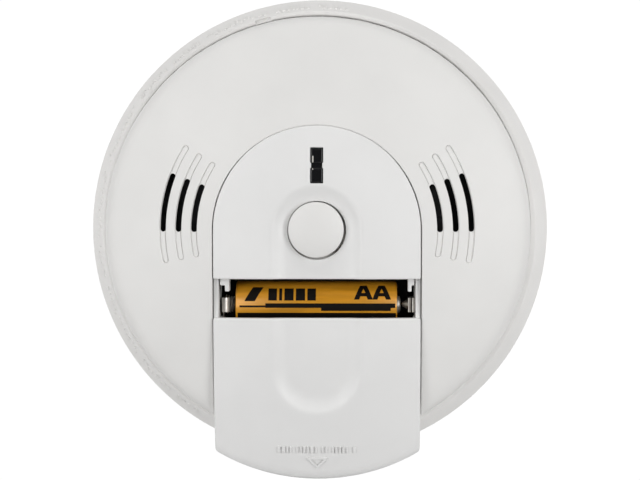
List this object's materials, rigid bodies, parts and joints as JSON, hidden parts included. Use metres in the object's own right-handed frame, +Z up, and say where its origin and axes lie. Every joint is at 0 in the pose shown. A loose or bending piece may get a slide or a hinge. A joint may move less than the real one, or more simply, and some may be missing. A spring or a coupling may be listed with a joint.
{
  "type": "smoke detector",
  "caption": "Round wall-mounted smoke and carbon monoxide alarm on a twist-lock bracket, with a test button, indicator window and sliding battery door.",
  "frame": {"origin": "centre of the bracket's back face, on the wall plane", "axes": "+Y into the wall, so the front of the alarm faces -Y; +Z up when mounted on a wall, with the battery door at the bottom; +X to the right of a person facing the alarm"},
  "size_m": [0.146, 0.0434, 0.1498],
  "materials": {
    "white_shell": "fine matt moulded ABS",
    "ring_white": "matt moulded ABS, slightly warmer",
    "panel_white": "smooth satin moulded ABS",
    "smoked_window": "polished smoked polycarbonate",
    "black_plastic": "black moulded plastic",
    "cell_label": "printed film over a steel can",
    "spring_steel": "nickel-plated spring steel",
    "brass": "bright brass",
    "ceramic_white": "white moulded sensor can",
    "board_green": "solder-masked glass epoxy",
    "screen_metal": "woven wire mesh",
    "led_green": "tinted epoxy",
    "led_red": "tinted epoxy",
    "emitter_blue": "tinted clear epoxy",
    "film_yellow": "moulded resin case",
    "sleeve_blue": "shrunk plastic sleeve",
    "disc_blue": "dipped resin coat",
    "cone_black": "coated paper"
  },
  "bodies": {
    "bracket": {"mounting_bracket": "ring_white"},
    "alarm": {"back_housing": "white_shell", "front_cover": "white_shell", "front_panel": "panel_white", "switch_body": "black_plastic", "indicator_lens": "smoked_window", "led_holder": "black_plastic", "led_power": "led_green", "led_alarm": "led_red", "battery_tray": "black_plastic", "battery_upper": "cell_label", "battery_lower": "cell_label", "contact_bridge": "spring_steel", "contact_positive": "spring_steel", "contact_negative": "spring_steel", "contact_spring_upper": "spring_steel", "contact_spring_lower": "spring_steel", "circuit_board": "board_green", "smoke_chamber_base": "black_plastic", "smoke_chamber_cap": "black_plastic", "insect_screen": "screen_metal", "infrared_emitter": "emitter_blue", "photodiode": "smoked_window", "horn_case": "black_plastic", "piezo_disc": "brass", "speaker_frame": "spring_steel", "speaker_cone": "cone_black", "co_sensor": "ceramic_white", "microcontroller": "black_plastic", "film_capacitor": "film_yellow", "electrolytic_capacitor_1": "sleeve_blue", "electrolytic_capacitor_2": "sleeve_blue", "varistor": "disc_blue", "horn_coil": "black_plastic", "mains_inlet": "white_shell", "mains_pin_1": "brass", "mains_pin_2": "brass", "mains_pin_3": "brass", "cover_screw_1": "spring_steel", "cover_screw_2": "spring_steel", "cover_screw_3": "spring_steel", "cover_screw_4": "spring_steel", "board_screw_1": "spring_steel", "board_screw_2": "spring_steel", "board_screw_3": "spring_steel"},
    "door": {"battery_door": "panel_white"},
    "button": {"test_button": "panel_white"},
    "plunger": {"switch_plunger": "black_plastic"}
  },
  "joints": [
    {"name": "alarm_twist", "type": "hinge", "parent": "bracket", "child": "alarm", "pos_m": [0, 0, 0], "axis": [0, -1, 0], "range_deg": [0, 15]},
    {"name": "door_slide", "type": "slide", "parent": "alarm", "child": "door", "axis": [0, 0, -1], "range_m": [-0.0115, 0.018]},
    {"name": "button_press", "type": "slide", "parent": "alarm", "child": "button", "axis": [0, 1, 0], "range_m": [0, 0.0012], "stiffness_N_per_m": 2500},
    {"name": "plunger_press", "type": "slide", "parent": "alarm", "child": "plunger", "axis": [0, 1, 0], "range_m": [0, 0.00025]}
  ],
  "couplings": [
    {"joint": "plunger_press", "follows": "button_press", "ratio": 0.2083}
  ]
}
